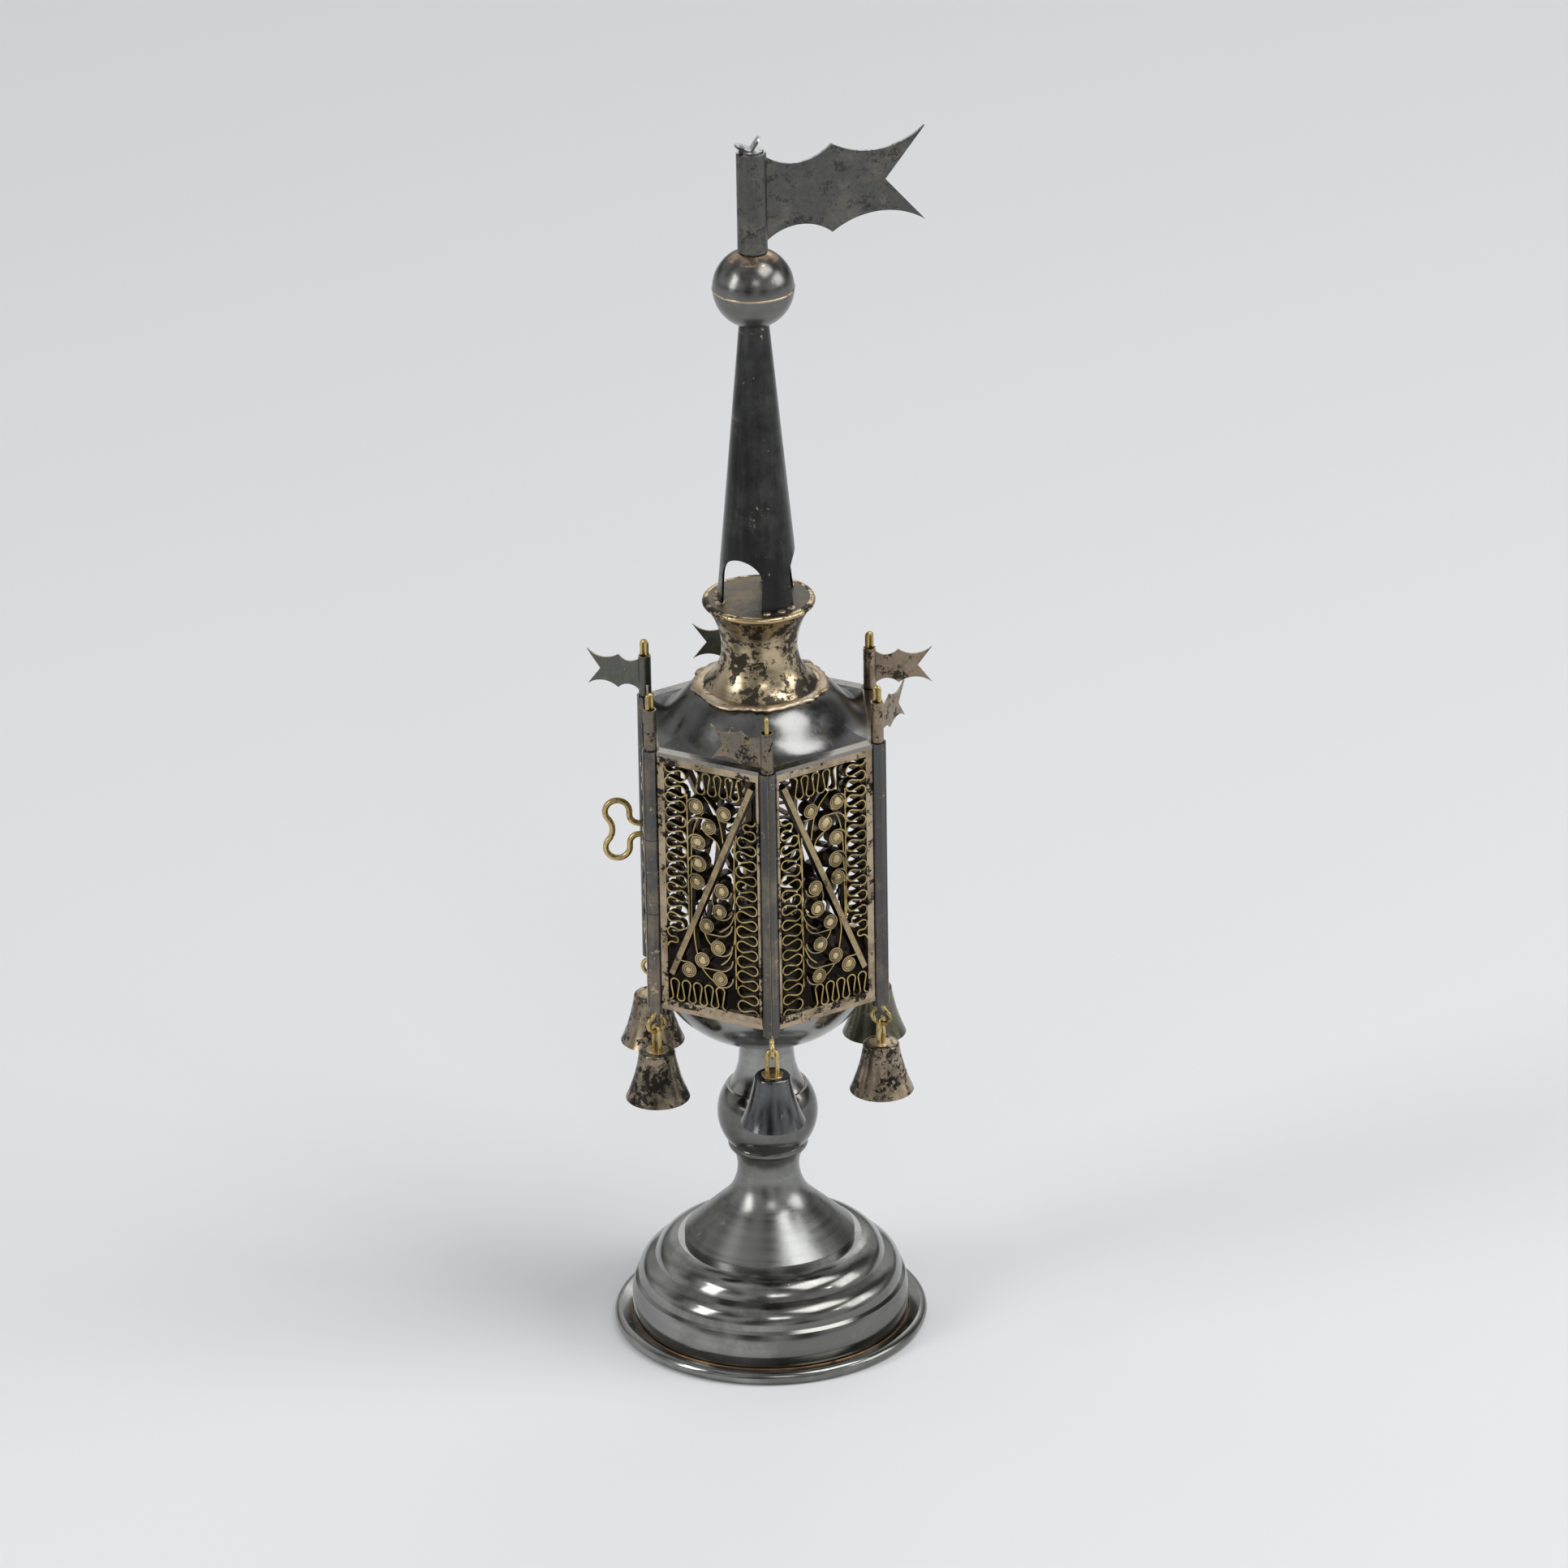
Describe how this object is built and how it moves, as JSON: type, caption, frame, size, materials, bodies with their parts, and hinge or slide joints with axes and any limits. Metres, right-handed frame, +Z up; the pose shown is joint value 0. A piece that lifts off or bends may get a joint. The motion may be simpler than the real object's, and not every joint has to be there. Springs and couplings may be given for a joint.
{
  "type": "spice tower",
  "caption": "Tower-shaped besamim spice box: spun foot and stem, six-sided filigree box with a hinged door, bells and flags at its corners, domed roof, spire and a turning flag.",
  "frame": {"origin": "on the tower axis, at the table plane that the foot rim rests on", "axes": "+Z up along the tower axis, -Y towards the front corner post, -X towards the door"},
  "size_m": [0.0649, 0.0612, 0.2436],
  "materials": {
    "spun_plate": "tarnished silver plate on spun brass, dark and glossy",
    "worn_plate": "worn silver plate with brass showing through",
    "post_sheet": "rolled brass sheet, darkened",
    "filigree_strip": "bent brass strip with golden edges",
    "brass_wire": "bare brass wire",
    "spire_sheet": "blackened rolled sheet",
    "flag_sheet": "cut sheet with worn silver plate",
    "bell_metal": "spun bells, mottled dark and coppery"
  },
  "bodies": {
    "tower": {"base_rim": "spun_plate", "base_dome": "spun_plate", "stem_trumpet": "spun_plate", "stem_knop": "spun_plate", "stem_neck": "spun_plate", "floor_dish": "spun_plate", "roof": "spun_plate", "ball_lower": "spun_plate", "ball_upper": "spun_plate", "box_floor": "worn_plate", "neck_collar": "worn_plate", "collar_plate": "worn_plate", "spindle": "worn_plate", "panel_frame_front_right": "worn_plate", "panel_frame_right": "worn_plate", "panel_frame_back_right": "worn_plate", "panel_frame_back_left": "worn_plate", "panel_frame_front_left": "worn_plate", "post_front": "post_sheet", "post_front_right": "post_sheet", "post_back_right": "post_sheet", "post_back": "post_sheet", "post_back_left": "post_sheet", "hinge_post": "post_sheet", "filigree_front_right": "filigree_strip", "filigree_right": "filigree_strip", "filigree_back_right": "filigree_strip", "filigree_back_left": "filigree_strip", "filigree_front_left": "filigree_strip", "corner_wires": "brass_wire", "spire": "spire_sheet"},
    "big_flag": {"big_flag": "flag_sheet"},
    "door": {"door_frame": "worn_plate", "door_filigree": "filigree_strip", "door_knuckle": "post_sheet", "door_pull": "brass_wire"},
    "flag_front": {"flag_front": "flag_sheet"},
    "flag_front_right": {"flag_front_right": "flag_sheet"},
    "flag_back_right": {"flag_back_right": "flag_sheet"},
    "flag_back": {"flag_back": "flag_sheet"},
    "flag_back_left": {"flag_back_left": "flag_sheet"},
    "flag_front_left": {"flag_front_left": "flag_sheet"},
    "bell_front": {"bell_front": "bell_metal", "bell_loop_front": "brass_wire"},
    "clapper_front": {"clapper_front": "brass_wire"},
    "bell_front_right": {"bell_front_right": "bell_metal", "bell_loop_front_right": "brass_wire"},
    "clapper_front_right": {"clapper_front_right": "brass_wire"},
    "bell_back_right": {"bell_back_right": "bell_metal", "bell_loop_back_right": "brass_wire"},
    "clapper_back_right": {"clapper_back_right": "brass_wire"},
    "bell_back": {"bell_back": "bell_metal", "bell_loop_back": "brass_wire"},
    "clapper_back": {"clapper_back": "brass_wire"},
    "bell_back_left": {"bell_back_left": "bell_metal", "bell_loop_back_left": "brass_wire"},
    "clapper_back_left": {"clapper_back_left": "brass_wire"},
    "bell_front_left": {"bell_front_left": "bell_metal", "bell_loop_front_left": "brass_wire"},
    "clapper_front_left": {"clapper_front_left": "brass_wire"}
  },
  "joints": [
    {"name": "big_flag_turn", "type": "hinge", "parent": "tower", "child": "big_flag", "pos_m": [0, 0, 0.22108], "axis": [0, 0, 1], "continuous": true},
    {"name": "door_swing", "type": "hinge", "parent": "tower", "child": "door", "pos_m": [-0.02122, -0.01225, 0.09269], "axis": [0, 0, 1], "range_deg": [0, 170]},
    {"name": "flag_front_turn", "type": "hinge", "parent": "tower", "child": "flag_front", "pos_m": [0, -0.0245, 0.12619], "axis": [0, 0, 1], "range_deg": [0, 240]},
    {"name": "flag_front_right_turn", "type": "hinge", "parent": "tower", "child": "flag_front_right", "pos_m": [0.02122, -0.01225, 0.12619], "axis": [0, 0, 1], "range_deg": [-211.5, 28.5]},
    {"name": "flag_back_right_turn", "type": "hinge", "parent": "tower", "child": "flag_back_right", "pos_m": [0.02122, 0.01225, 0.12619], "axis": [0, 0, 1], "range_deg": [-92, 148]},
    {"name": "flag_back_turn", "type": "hinge", "parent": "tower", "child": "flag_back", "pos_m": [0, 0.0245, 0.12619], "axis": [0, 0, 1], "range_deg": [-198.5, 41.5]},
    {"name": "flag_back_left_turn", "type": "hinge", "parent": "tower", "child": "flag_back_left", "pos_m": [-0.02122, 0.01225, 0.12619], "axis": [0, 0, 1], "range_deg": [-124.5, 115.5]},
    {"name": "flag_front_left_turn", "type": "hinge", "parent": "tower", "child": "flag_front_left", "pos_m": [-0.02122, -0.01225, 0.12619], "axis": [0, 0, 1], "range_deg": [0, 240]},
    {"name": "bell_front_swing", "type": "hinge", "parent": "tower", "child": "bell_front", "pos_m": [0, -0.0245, 0.06759], "axis": [0, -1, 0], "range_deg": [-25, 25]},
    {"name": "clapper_front_swing", "type": "hinge", "parent": "bell_front", "child": "clapper_front", "pos_m": [0, -0.0245, 0.06159], "axis": [1, 0, 0], "range_deg": [-25, 25]},
    {"name": "bell_front_right_swing", "type": "hinge", "parent": "tower", "child": "bell_front_right", "pos_m": [0.02122, -0.01225, 0.06759], "axis": [0.866, -0.5, 0], "range_deg": [-25, 25]},
    {"name": "clapper_front_right_swing", "type": "hinge", "parent": "bell_front_right", "child": "clapper_front_right", "pos_m": [0.02122, -0.01225, 0.06159], "axis": [0.5, 0.866, 0], "range_deg": [-25, 25]},
    {"name": "bell_back_right_swing", "type": "hinge", "parent": "tower", "child": "bell_back_right", "pos_m": [0.02122, 0.01225, 0.06759], "axis": [0.866, 0.5, 0], "range_deg": [-25, 25]},
    {"name": "clapper_back_right_swing", "type": "hinge", "parent": "bell_back_right", "child": "clapper_back_right", "pos_m": [0.02122, 0.01225, 0.06159], "axis": [-0.5, 0.866, 0], "range_deg": [-25, 25]},
    {"name": "bell_back_swing", "type": "hinge", "parent": "tower", "child": "bell_back", "pos_m": [0, 0.0245, 0.06759], "axis": [0, 1, 0], "range_deg": [-25, 25]},
    {"name": "clapper_back_swing", "type": "hinge", "parent": "bell_back", "child": "clapper_back", "pos_m": [0, 0.0245, 0.06159], "axis": [-1, 0, 0], "range_deg": [-25, 25]},
    {"name": "bell_back_left_swing", "type": "hinge", "parent": "tower", "child": "bell_back_left", "pos_m": [-0.02122, 0.01225, 0.06759], "axis": [-0.866, 0.5, 0], "range_deg": [-25, 25]},
    {"name": "clapper_back_left_swing", "type": "hinge", "parent": "bell_back_left", "child": "clapper_back_left", "pos_m": [-0.02122, 0.01225, 0.06159], "axis": [-0.5, -0.866, 0], "range_deg": [-25, 25]},
    {"name": "bell_front_left_swing", "type": "hinge", "parent": "tower", "child": "bell_front_left", "pos_m": [-0.02122, -0.01225, 0.06759], "axis": [-0.866, -0.5, 0], "range_deg": [-25, 25]},
    {"name": "clapper_front_left_swing", "type": "hinge", "parent": "bell_front_left", "child": "clapper_front_left", "pos_m": [-0.02122, -0.01225, 0.06159], "axis": [0.5, -0.866, 0], "range_deg": [-25, 25]}
  ]
}
